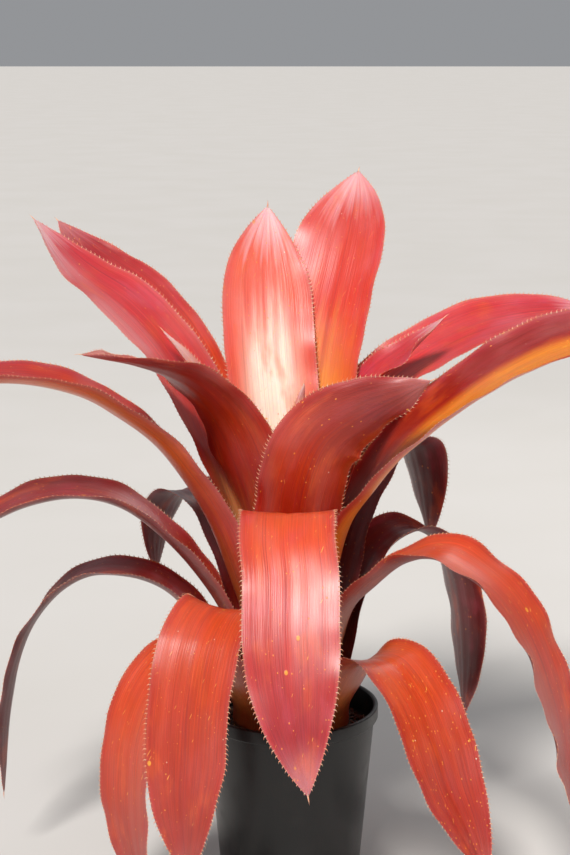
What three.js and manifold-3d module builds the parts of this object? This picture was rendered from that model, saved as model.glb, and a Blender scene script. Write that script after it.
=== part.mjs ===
// Potted bromeliad: one rosette of spiny strap leaves on a short stem, in a round nursery pot.
//
// Millimetres, +Z up. The origin is the middle of the pot's underside, -Y is the front.
// A heading is the compass direction of a leaf seen from above: 0 is +X, 90 is +Y (the back),
// -90 is the front and 180 is -X.

import * as THREE from 'three';
import { mergeVertices } from 'three/addons/utils/BufferGeometryUtils.js';
import Module from 'manifold-3d';

const wasm = await Module();
wasm.setup();

// ---------------------------------------------------------------- driving dimensions

const POT = {
  rimRadius: 82.5,
  baseRadius: 65,
  height: 170,
  wall: 1.8,
  floor: 2.6,
  lipHeight: 13,
  lipOverhang: 2.4,
  edgeBevel: 1,
  drainHoles: 4,
  drainRadius: 7,
  drainRing: 44,
  firstDrainHeading: 45,
};

const SOIL = {
  belowRim: 18,
  mound: 5,
};

const STEM = {
  depth: 32,
  rise: 50,
  rootTaper: 0.6,
  crownHeight: 4.5,
};

const LEAF = {
  width: 84,
  thickness: 1.5,
  sheathThickness: 1.0,
  layerPitch: 2.0,
  layerDrop: 2.0,
  innerSheathRadius: 8,
  sheathRise: 16,
  innerSheathLength: 240,
  outerSheathLength: 100,
  tipLength: 128,
  tipFullness: 2.1,
  marginSharpness: 4,
  bladeGap: 3.2,
  settleReach: 26,
  marginReach: 6,
};

const CLEARANCE = 0.3;
const SEAT_CLEARANCE = 0.5;
const TABLE_CLEARANCE = 9;

const POT_SIDES = 48;
const DRAIN_SIDES = 24;
const WELD_DISTANCE = 1e-4;
const ARC_DIVISIONS = 400;
const LEAF_STATIONS = 17;
const LEAF_CHORDS = 6;
const SETTLE_PASSES = 12;
const SMOOTHED_PASSES = 9;
const TESTS_PER_CELL = 2;
const SMOOTHING = 0.5;
const GIVE_STARTS = 0.25;
const SLIVER_AREA = 1;
const WIDEST_WRAP = THREE.MathUtils.degToRad(84);
const FLATTEST_CUP = THREE.MathUtils.degToRad(1);
const NO_TWIST = [0, 0];

const SOIL_TOP = POT.height - SOIL.belowRim;

// ---------------------------------------------------------------- colours

const FINISH = {
  pot: { color: 0x101012, roughness: 0.42, metalness: 0 },
  soil: { color: 0x2c1a12, roughness: 0.95, metalness: 0 },
  stem: { color: 0x8d6a3c, roughness: 0.8, metalness: 0 },
  coral: { color: 0xc8402c, roughness: 0.42, metalness: 0 },
  crimson: { color: 0x9c2420, roughness: 0.45, metalness: 0 },
  maroon: { color: 0x5c1518, roughness: 0.5, metalness: 0 },
  cream: { color: 0xe8a070, roughness: 0.4, metalness: 0 },
};

// ---------------------------------------------------------------- the rosette

// Leaves from the innermost to the outermost; each lies outside the one before it.
// path: where the midrib goes after it leaves the sheath, as [out, up, swing]: millimetres out
// from its own sheath, millimetres above the soil line, and degrees round from the heading.
// cup and twist: degrees, spread evenly from the base of the leaf to its tip.
const LEAVES = [
  {
    name: 'leaf_heart', heading: -40, width: 0.5, tip: 0.7, finish: 'cream',
    path: [[1, 110], [2, 190], [4, 280], [8, 324]],
    cup: [60, 70, 60, 40],
  },
  {
    name: 'leaf_crown_back', heading: 116, width: 1.02, tip: 0.75, finish: 'cream',
    path: [[2, 110], [6, 190, -1], [20, 270, -1], [44, 350, -5], [78, 422, -11], [100, 472, -15]],
    cup: [60, 45, 20, 10, 15], twist: [0, -6, -16, -16, -8],
  },
  {
    name: 'leaf_crown_right', heading: 66, width: 1.1, tip: 0.75, finish: 'coral',
    path: [[3, 110], [10, 190], [30, 280], [56, 360, -1], [88, 430, -3], [150, 502]],
    cup: [60, 45, 20, 15, 20],
  },
  {
    name: 'leaf_inner_right', heading: 6, width: 0.7, finish: 'coral',
    path: [[4, 110], [12, 200], [30, 286], [54, 322], [92, 350], [126, 380]],
    cup: [60, 45, 40, 35], twist: [0, 0, 10, 20],
  },
  {
    name: 'leaf_crown_left', heading: 166, width: 0.6, finish: 'cream',
    path: [[4, 110], [14, 200], [42, 284], [74, 330], [104, 366]],
    cup: [60, 50, 35, 30],
  },
  {
    name: 'leaf_inner_left', heading: -150, width: 1.2, finish: 'crimson',
    path: [[5, 110], [15, 190], [34, 250], [58, 300], [90, 332], [134, 352], [187, 366]],
    cup: [60, 50, 30, 25, 30], twist: [0, 8, 14, 10, 0],
  },
  {
    name: 'leaf_upper_right', heading: 22, width: 0.95, finish: 'coral',
    path: [[5, 110], [15, 200], [38, 282], [76, 318], [116, 340], [166, 359], [218, 368], [300, 373]],
    cup: [60, 30, 25, 25, 30], twist: [0, 0, 10, 18, 24],
  },
  {
    name: 'leaf_inner_front', heading: -85, width: 1.02, finish: 'crimson',
    path: [[7, 110], [22, 190, 2], [37, 246, 9], [50, 284, 20], [74, 310, 38], [98, 326, 50],
      [120, 338, 54]],
    cup: [60, 50, 40, 35, 30],
  },
  {
    name: 'leaf_upper_left', heading: 160, width: 1.0, finish: 'coral',
    path: [[9, 110], [26, 190], [48, 250], [72, 304], [104, 350], [140, 384], [190, 418], [231, 462]],
    cup: [60, 45, 30, 25, 25], twist: [0, 0, -14, -14, -6],
  },
  {
    name: 'leaf_upper_left_back', heading: 140, width: 0.88, finish: 'coral',
    path: [[10, 110], [29, 190], [60, 268], [94, 320], [130, 358], [168, 386],
      [210, 408], [246, 430], [274, 450]],
    cup: [60, 35, 15, 15, 20], twist: [0, 0, -16, -14],
  },
  {
    name: 'leaf_right', heading: -8, width: 1.12, finish: 'coral',
    path: [[8, 100], [26, 190], [49, 228], [76, 264], [120, 304], [164, 336], [222, 364], [312, 380]],
    cup: [60, 50, 40, 35, 30], twist: [0, 0, 15, 20, 20],
  },
  {
    name: 'leaf_back_upper', heading: 78, width: 0.95, finish: 'crimson',
    path: [[9, 100], [33, 180], [70, 240], [120, 265], [180, 255], [240, 210]],
    cup: [60, 40, 25, 20],
  },
  {
    name: 'leaf_left', heading: -164, width: 1.1, finish: 'coral',
    path: [[8, 90], [26, 150], [45, 200], [68, 240], [94, 274], [126, 300],
      [162, 322], [230, 337], [310, 322]],
    cup: [60, 50, 40, 35, 30],
  },
  {
    name: 'leaf_front', heading: -91, width: 0.95, finish: 'coral',
    path: [[8, 70], [32, 160], [66, 214], [106, 236], [138, 222], [162, 196, 1],
      [188, 155, 1], [212, 95, 2], [230, 35, 4]],
    cup: [60, 30, 6, 8, 20],
  },
  {
    name: 'leaf_back', heading: 97, width: 0.95, finish: 'crimson',
    path: [[6, 75], [32, 165], [80, 222], [140, 234], [195, 200], [230, 130]],
    cup: [60, 40, 20, 20],
  },
  {
    name: 'leaf_front_right', heading: -25, width: 0.97, finish: 'coral',
    path: [[6, 60], [22, 115], [44, 140], [76, 168], [110, 178], [138, 168],
      [170, 145], [196, 107], [214, 62], [228, 10], [242, -55]],
    cup: [60, 40, 25, 20, 20],
  },
  {
    name: 'leaf_left_back', heading: 138, width: 0.8, finish: 'maroon',
    path: [[8, 70], [36, 150], [70, 194], [98, 200], [122, 180], [134, 146], [138, 108]],
    cup: [60, 40, 25, 20],
  },
  {
    name: 'leaf_right_back', heading: 46, width: 0.8, finish: 'maroon',
    path: [[8, 70], [34, 155], [68, 212], [103, 241], [131, 238], [146, 206], [154, 168], [160, 134]],
    cup: [60, 45, 35, 35],
  },
  {
    name: 'leaf_left_middle', heading: -172, width: 0.95, finish: 'maroon',
    path: [[6, 60], [20, 110], [46, 152], [78, 188], [112, 214], [147, 224],
      [183, 221], [219, 208], [286, 165]],
    cup: [60, 40, 30, 30],
  },
  {
    name: 'leaf_front_left', heading: -115, width: 0.92, finish: 'coral',
    path: [[10, 50], [44, 112], [92, 148], [130, 132], [152, 86], [160, 38],
      [166, -8], [165, -40], [161, -67]],
    cup: [60, 35, 12, 12, 20],
  },
  {
    name: 'leaf_right_back_lower', heading: 30, width: 0.8, finish: 'maroon',
    path: [[5, 45], [22, 110], [50, 156], [86, 168], [120, 148], [136, 118],
      [146, 76], [151, 24], [152, -32]],
    cup: [60, 40, 25, 25],
  },
  {
    name: 'leaf_back_lower', heading: 84, width: 0.9, finish: 'maroon',
    path: [[10, 45], [40, 110], [86, 140], [136, 125], [170, 70], [188, -10]],
    cup: [60, 35, 20, 20],
  },
  {
    name: 'leaf_left_lower', heading: 175, width: 0.7, finish: 'maroon',
    path: [[7, 44], [32, 92], [66, 128], [104, 140], [134, 138], [162, 122],
      [189, 90], [206, 50], [218, -10], [224, -78]],
    cup: [60, 35, 20, 20],
  },
  {
    name: 'leaf_front_left_lower', heading: -140, width: 0.85, finish: 'crimson',
    path: [[14, 45], [43, 84], [80, 88], [110, 64], [127, 28], [133, -16],
      [131, -55], [122, -100], [116, -134]],
    cup: [60, 35, 15, 15, 20],
  },
  {
    name: 'leaf_front_right_lower', heading: -50, width: 0.95, finish: 'coral',
    path: [[12, 42], [38, 80], [78, 93], [115, 70], [139, 35], [158, -2], [180, -30], [204, -66]],
    cup: [60, 35, 15, 15, 20],
  },
];

const deepestDroop = -Math.min(...LEAVES.flatMap((leaf) => leaf.path.map((point) => point[1])));

// Heights under the soil line shrink or stretch with the pot, so that no tip reaches the table.
function heightAbove(up) {
  const room = (SOIL_TOP - TABLE_CLEARANCE) / deepestDroop;
  return SOIL_TOP + (up < 0 ? up * room : up);
}

function sheathRadius(layer) {
  return LEAF.innerSheathRadius + layer * LEAF.layerPitch;
}

function sheathHeight(layer) {
  return SOIL_TOP + STEM.rise - layer * LEAF.layerDrop;
}

function sheathLength(layer) {
  const place = layer / (LEAVES.length - 1);
  return THREE.MathUtils.lerp(LEAF.innerSheathLength, LEAF.outerSheathLength, place);
}

// Value of a short list of degrees spread evenly over 0..1, in radians.
function degreesAlong(list, along) {
  const place = along * (list.length - 1);
  const index = Math.min(Math.floor(place), list.length - 2);
  return THREE.MathUtils.degToRad(THREE.MathUtils.lerp(list[index], list[index + 1], place - index));
}

function polar(radius, heading, height) {
  const angle = THREE.MathUtils.degToRad(heading);
  return new THREE.Vector3(radius * Math.cos(angle), radius * Math.sin(angle), height);
}

function midrib(leaf, layer) {
  const radius = sheathRadius(layer);
  const foot = sheathHeight(layer);
  const points = [
    polar(radius, leaf.heading, foot),
    polar(radius, leaf.heading, foot + LEAF.sheathRise),
    ...leaf.path.map(([out, up, swing = 0]) => (
      polar(radius + out, leaf.heading + swing, heightAbove(up))
    )),
  ];
  const curve = new THREE.CatmullRomCurve3(points, false, 'centripetal');
  curve.arcLengthDivisions = ARC_DIVISIONS;
  return curve;
}

// Leaf outline: full width along the blade, then an ogive over the last stretch.
function widthAlong(leaf, along, length) {
  const toTip = Math.min((1 - along) * length / (LEAF.tipLength * (leaf.tip ?? 1)), 1);
  return LEAF.width * leaf.width * (1 - (1 - toTip) ** LEAF.tipFullness);
}

// The frames that carry the cross-section along the midrib without turning it.
function framesAlong(curve, leaf) {
  const frames = [];
  const side = polar(1, leaf.heading + 90, 0);
  for (let station = 0; station <= LEAF_STATIONS; station += 1) {
    const along = station / LEAF_STATIONS;
    const tangent = curve.getTangentAt(along);
    side.addScaledVector(tangent, -side.dot(tangent)).normalize();
    const inward = tangent.clone().cross(side);
    const twist = degreesAlong(leaf.twist ?? NO_TWIST, along);
    frames.push({
      along,
      point: curve.getPointAt(along),
      steepness: Math.max(tangent.z, 0),
      across: side.clone().multiplyScalar(Math.cos(twist)).addScaledVector(inward, Math.sin(twist)),
      inward: inward.clone().multiplyScalar(Math.cos(twist)).addScaledVector(side, -Math.sin(twist)),
    });
  }
  return frames;
}

// One row of the leaf's middle surface, from margin to margin. In the sheath it is an arc round
// the plant's axis, so that sheaths nest; along the blade it is a channel of the leaf's own cup.
function leafRow(frame, leaf, length, open) {
  const { along, point, steepness, across, inward } = frame;
  const radius = Math.hypot(point.x, point.y);
  const roundTheAxis = THREE.MathUtils.lerp(2 * WIDEST_WRAP * radius, 2 * LEAF.width, open);
  const width = Math.min(widthAlong(leaf, along, length), roundTheAxis);
  const wrap = (width / 2) * steepness / radius;
  const cup = Math.max(THREE.MathUtils.lerp(wrap, degreesAlong(leaf.cup, along), open), FLATTEST_CUP);
  const row = [];
  for (let chord = 0; chord <= LEAF_CHORDS; chord += 1) {
    const angle = cup * ((2 * chord) / LEAF_CHORDS - 1);
    const sideways = (width / 2) * Math.sin(angle) / cup;
    const raised = (width / 2) * (1 - Math.cos(angle)) / cup;
    row.push(point.clone().addScaledVector(across, sideways).addScaledVector(inward, raised));
  }
  return row;
}

function eachNeighbour(rows, station, chord, visit) {
  for (const [down, over] of [[-1, 0], [1, 0], [0, -1], [0, 1]]) {
    const neighbour = rows[station + down]?.[chord + over];
    if (neighbour) {
      visit(neighbour);
    }
  }
}

// Triangles of a middle surface, wound so that their normals point to the upper face.
function surfaceTriangles(rows) {
  const triangles = [];
  for (let station = 0; station < rows.length - 1; station += 1) {
    for (let chord = 0; chord < LEAF_CHORDS; chord += 1) {
      const a = rows[station][chord];
      const b = rows[station][chord + 1];
      const c = rows[station + 1][chord];
      const d = rows[station + 1][chord + 1];
      triangles.push(new THREE.Triangle(a, c, b), new THREE.Triangle(b, c, d));
    }
  }
  return triangles
    .filter((triangle) => triangle.getArea() > SLIVER_AREA)
    .map((triangle) => ({ triangle, normal: triangle.getNormal(new THREE.Vector3()) }));
}

// The push that brings a point to the outer side of a leaf that lies inside it.
function pushOff(point, inner, gap) {
  if (inner.box.distanceToPoint(point) > LEAF.settleReach) {
    return null;
  }
  let nearest = null;
  const spot = new THREE.Vector3();
  for (const { triangle, normal } of inner.triangles) {
    triangle.closestPointToPoint(point, spot);
    const distance = spot.distanceTo(point);
    if (distance < (nearest?.distance ?? LEAF.settleReach)) {
      nearest = { distance, normal, spot: spot.clone() };
    }
  }
  if (!nearest) {
    return null;
  }
  const offset = point.clone().sub(nearest.spot);
  const height = offset.dot(nearest.normal);
  const pastMargin = Math.sqrt(Math.max(offset.lengthSq() - height * height, 0));
  if (height <= -gap || pastMargin > LEAF.marginReach) {
    return null;
  }
  return nearest.normal.clone().multiplyScalar(-(height + gap));
}

// The places of a middle surface that are tested: each point, and points between it and the
// next ones along the leaf, across it and over the cell.
function testPlaces(rows) {
  const places = [];
  rows.forEach((row, station) => row.forEach((point, chord) => {
    for (let down = 0; down < TESTS_PER_CELL; down += 1) {
      for (let over = 0; over < TESTS_PER_CELL; over += 1) {
        const nextRow = rows[station + (down > 0 ? 1 : 0)];
        const nextChord = chord + (over > 0 ? 1 : 0);
        if (nextRow?.[nextChord]) {
          const near = row[chord].clone().lerp(row[nextChord], over / TESTS_PER_CELL);
          const far = nextRow[chord].clone().lerp(nextRow[nextChord], over / TESTS_PER_CELL);
          const corners = [[station, chord], [station, nextChord]];
          if (down > 0) {
            corners.push([station + 1, chord], [station + 1, nextChord]);
          }
          places.push({ point: near.lerp(far, down / TESTS_PER_CELL), corners });
        }
      }
    }
  }));
  return places;
}

function smoothGives(gives) {
  const before = gives.map((row) => row.map((give) => give.clone()));
  gives.forEach((row, station) => row.forEach((give, chord) => {
    let count = 0;
    const sum = new THREE.Vector3();
    eachNeighbour(before, station, chord, (neighbour) => {
      sum.add(neighbour);
      count += 1;
    });
    give.lerp(sum.divideScalar(count), SMOOTHING);
  }));
}

// A leaf gives way to every leaf inside it; the give is spread over it, so that it bends smoothly.
function settle(rows, opens, innerLeaves) {
  const gives = rows.map((row) => row.map(() => new THREE.Vector3()));
  const settled = () => rows.map((row, station) => {
    const share = Math.min(1, opens[station] / GIVE_STARTS);
    return row.map((point, chord) => point.clone().addScaledVector(gives[station][chord], share));
  });
  for (let pass = 0; pass < SETTLE_PASSES; pass += 1) {
    const pushes = gives.map((row) => row.map(() => new THREE.Vector3()));
    for (const { point, corners } of testPlaces(settled())) {
      const gap = THREE.MathUtils.lerp(LEAF.layerPitch, LEAF.bladeGap, opens[corners[0][0]]);
      for (const inner of innerLeaves) {
        const push = pushOff(point, inner, gap);
        for (const [station, chord] of push ? corners : []) {
          if (push.lengthSq() > pushes[station][chord].lengthSq()) {
            pushes[station][chord].copy(push);
          }
        }
      }
    }
    gives.forEach((row, station) => row.forEach((give, chord) => give.add(pushes[station][chord])));
    if (pass < SMOOTHED_PASSES) {
      smoothGives(gives);
      smoothGives(gives);
    }
  }
  return settled();
}

// Direction of the upper face at one place of the middle surface.
function faceDirection(rows, station, chord) {
  const alongTo = rows[Math.min(station + 1, rows.length - 1)][chord];
  const alongFrom = rows[Math.max(station - 1, 0)][chord];
  const acrossTo = rows[station][Math.min(chord + 1, LEAF_CHORDS)];
  const acrossFrom = rows[station][Math.max(chord - 1, 0)];
  return alongTo.clone().sub(alongFrom).cross(acrossTo.clone().sub(acrossFrom)).normalize();
}

// One ring of the closed leaf: over the upper face from margin to margin, then back underneath.
// The leaf is thin in its sheath and thickens as it opens; its margins are sharp.
function leafRing(rows, opens, station) {
  const thickness = THREE.MathUtils.lerp(LEAF.sheathThickness, LEAF.thickness, opens[station]);
  const faces = [
    { from: 0, to: LEAF_CHORDS, step: 1 },
    { from: LEAF_CHORDS - 1, to: 1, step: -1 },
  ];
  return faces.flatMap(({ from, to, step }) => {
    const face = [];
    for (let chord = from; chord !== to + step; chord += step) {
      const place = (2 * chord) / LEAF_CHORDS - 1;
      const half = (step * thickness * (1 - place ** LEAF.marginSharpness)) / 2;
      const outward = faceDirection(rows, station, chord);
      face.push(rows[station][chord].clone().addScaledVector(outward, half));
    }
    return face;
  });
}

// Closed skin over a row of rings, with a fan over the first ring and a point after the last.
// Both faces split their cells along the same diagonal, so the leaf keeps its thickness.
function skinRings(rings, tip) {
  const count = rings[0].length;
  const points = [...rings.flat(), tip];
  const index = [];
  for (let row = 0; row < rings.length - 1; row += 1) {
    for (let place = 0; place < count; place += 1) {
      const next = (place + 1) % count;
      const a = row * count + place;
      const b = row * count + next;
      if (place < LEAF_CHORDS) {
        index.push(a, a + count, b, b, a + count, b + count);
      } else {
        index.push(a, a + count, b + count, a, b + count, b);
      }
    }
  }
  const last = (rings.length - 1) * count;
  for (let place = 0; place < count; place += 1) {
    index.push(last + place, points.length - 1, last + (place + 1) % count);
  }
  for (let chord = 1; chord < LEAF_CHORDS; chord += 1) {
    const under = count - chord;
    index.push(chord - 1, chord, under % count === 0 ? 0 : (under + 1) % count);
    index.push(chord, under, (under + 1) % count);
  }
  index.push(LEAF_CHORDS - 1, LEAF_CHORDS, LEAF_CHORDS + 1);
  const geometry = new THREE.BufferGeometry().setFromPoints(points);
  geometry.setIndex(index);
  geometry.computeVertexNormals();
  return geometry;
}

// Leaves are laid from the heart outwards, each against the ones already there.
function leafGeometries() {
  const laid = [];
  return LEAVES.map((leaf, layer) => {
    const curve = midrib(leaf, layer);
    const length = curve.getLength();
    const sheath = sheathLength(layer);
    const frames = framesAlong(curve, leaf);
    const opens = frames.map(({ along }) => THREE.MathUtils.smoothstep(along * length, sheath / 2, sheath));
    const rows = frames.map((frame, station) => leafRow(frame, leaf, length, opens[station]));
    const settledRows = settle(rows, opens, laid);
    const box = new THREE.Box3().setFromPoints(settledRows.flat());
    laid.push({ box, triangles: surfaceTriangles(settledRows) });
    const rings = settledRows.slice(0, -1).map((row, station) => leafRing(settledRows, opens, station));
    return skinRings(rings, settledRows[LEAF_STATIONS][0]);
  });
}

// ---------------------------------------------------------------- pot, soil and stem

function lathe(profile, sides) {
  const outline = profile.map(([radius, height]) => new THREE.Vector2(radius, height));
  const geometry = new THREE.LatheGeometry(outline, sides);
  geometry.rotateX(Math.PI / 2);
  return geometry;
}

function potOuterRadius(height) {
  return THREE.MathUtils.lerp(POT.baseRadius, POT.rimRadius - POT.lipOverhang, height / POT.height);
}

function potInnerRadius(height) {
  return potOuterRadius(height) - POT.wall;
}

function solidFrom(geometry) {
  const bare = geometry.clone();
  bare.deleteAttribute('normal');
  bare.deleteAttribute('uv');
  const merged = mergeVertices(bare, WELD_DISTANCE);
  return new wasm.Manifold(new wasm.Mesh({
    numProp: 3,
    vertProperties: new Float32Array(merged.attributes.position.array),
    triVerts: new Uint32Array(merged.index.array),
  }));
}

function geometryFrom(solid) {
  const mesh = solid.getMesh();
  const geometry = new THREE.BufferGeometry();
  geometry.setAttribute('position', new THREE.BufferAttribute(new Float32Array(mesh.vertProperties), 3));
  geometry.setIndex([...mesh.triVerts]);
  geometry.computeVertexNormals();
  return geometry;
}

function potGeometry() {
  const lipFoot = POT.height - POT.lipHeight;
  const shell = solidFrom(lathe([
    [0, 0],
    [POT.baseRadius, 0],
    [potOuterRadius(lipFoot), lipFoot],
    [POT.rimRadius, lipFoot + POT.edgeBevel],
    [POT.rimRadius, POT.height - POT.edgeBevel],
    [POT.rimRadius - POT.edgeBevel, POT.height],
    [potInnerRadius(POT.height), POT.height],
    [potInnerRadius(POT.floor), POT.floor],
    [0, POT.floor],
  ], POT_SIDES));
  let pot = shell;
  for (let hole = 0; hole < POT.drainHoles; hole += 1) {
    const drain = new THREE.CylinderGeometry(POT.drainRadius, POT.drainRadius, 4 * POT.floor, DRAIN_SIDES);
    drain.rotateX(Math.PI / 2);
    const heading = POT.firstDrainHeading + (360 * hole) / POT.drainHoles;
    drain.translate(...polar(POT.drainRing, heading, 0));
    pot = pot.subtract(solidFrom(drain));
  }
  return geometryFrom(pot);
}

// The stem under one layer of the rosette: it clears the flats between a sheath's chords.
function stemRadius(layer) {
  const flat = Math.cos(WIDEST_WRAP / LEAF_CHORDS);
  return (sheathRadius(layer) - LEAF.sheathThickness / 2) * flat - SEAT_CLEARANCE;
}

const OUTER_LAYER = LEAVES.length - 1;

function soilGeometry() {
  const foot = POT.floor + CLEARANCE;
  const socket = stemRadius(OUTER_LAYER) + CLEARANCE;
  const socketFloor = SOIL_TOP - STEM.depth - CLEARANCE;
  return lathe([
    [0, foot],
    [potInnerRadius(foot) - CLEARANCE, foot],
    [potInnerRadius(SOIL_TOP - SOIL.mound) - CLEARANCE, SOIL_TOP - SOIL.mound],
    [socket, SOIL_TOP],
    [socket * STEM.rootTaper, socketFloor],
    [0, socketFloor],
  ], POT_SIDES);
}

function stemGeometry() {
  const foot = stemRadius(OUTER_LAYER);
  return lathe([
    [0, SOIL_TOP - STEM.depth],
    [foot * STEM.rootTaper - CLEARANCE, SOIL_TOP - STEM.depth],
    [foot, SOIL_TOP],
    [foot, sheathHeight(OUTER_LAYER)],
    [stemRadius(0), sheathHeight(0)],
    [0, sheathHeight(0) + STEM.crownHeight],
  ], POT_SIDES);
}

// ---------------------------------------------------------------- assembly

function named(name, geometry, finish) {
  const mesh = new THREE.Mesh(geometry, new THREE.MeshStandardMaterial(FINISH[finish]));
  mesh.name = name;
  return mesh;
}

const bromeliad = new THREE.Group();
bromeliad.name = 'potted_bromeliad';
bromeliad.add(named('pot', potGeometry(), 'pot'));
bromeliad.add(named('soil', soilGeometry(), 'soil'));
bromeliad.add(named('stem', stemGeometry(), 'stem'));
leafGeometries().forEach((geometry, layer) => {
  bromeliad.add(named(LEAVES[layer].name, geometry, LEAVES[layer].finish));
});

export default bromeliad;
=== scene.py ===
"""Potted bromeliad: the looks of the part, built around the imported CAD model.

Every leaf is grown again at fine resolution along the route that its CAD solid follows, with its
wavy margins, prickles and thickness in the mesh. Leaf sizes and routes are in millimetres, in the
part's own frame: +Z up, the origin under the middle of the pot and -Y the front.
"""

import math

import bmesh
import bpy
import numpy as np
from mathutils import Matrix, Vector
from mathutils.bvhtree import BVHTree


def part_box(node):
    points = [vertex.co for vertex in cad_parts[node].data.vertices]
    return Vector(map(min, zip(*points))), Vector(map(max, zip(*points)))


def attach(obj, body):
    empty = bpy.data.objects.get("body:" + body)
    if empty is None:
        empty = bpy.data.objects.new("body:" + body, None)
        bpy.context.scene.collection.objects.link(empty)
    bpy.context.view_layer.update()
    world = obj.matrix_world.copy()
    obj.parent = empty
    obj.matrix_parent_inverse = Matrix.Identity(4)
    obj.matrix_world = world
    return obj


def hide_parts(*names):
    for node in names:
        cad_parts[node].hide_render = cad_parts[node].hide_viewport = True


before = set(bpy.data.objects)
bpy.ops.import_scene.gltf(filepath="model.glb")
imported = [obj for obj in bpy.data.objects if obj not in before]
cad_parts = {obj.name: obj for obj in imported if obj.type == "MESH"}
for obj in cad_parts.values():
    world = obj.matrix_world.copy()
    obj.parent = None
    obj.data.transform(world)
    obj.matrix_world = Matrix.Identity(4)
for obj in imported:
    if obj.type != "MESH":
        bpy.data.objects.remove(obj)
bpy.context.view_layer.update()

MM = 0.001

# ------------------------------------------------------------------ sizes of the rosette, in mm

LEAF_WIDTH = 84
LEAF_THICKNESS = 1.5
SHEATH_THICKNESS = 1.0
LAYER_PITCH = 2.0
LAYER_DROP = 2.0
INNER_SHEATH_RADIUS = 8
SHEATH_RISE = 16
INNER_SHEATH_LENGTH = 240
OUTER_SHEATH_LENGTH = 100
STEM_RISE = 50
TIP_LENGTH = 128
TIP_FULLNESS = 2.1
MARGIN_SHARPNESS = 4
BLADE_GAP = 3.2
SETTLE_REACH = 26
MARGIN_REACH = 6
SETTLE_PASSES = 12
SMOOTHED_PASSES = 9
GIVE_STARTS = 0.25
SLIVER_AREA = 1
TABLE_CLEARANCE = 9
WIDEST_WRAP = math.radians(84)
FLATTEST_CUP = math.radians(1)
SOIL_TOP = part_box("soil")[1].z / MM

COARSE_STATIONS = 17
COARSE_CHORDS = 6
FINE_STATIONS = 132
FINE_CHORDS = 24

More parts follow.
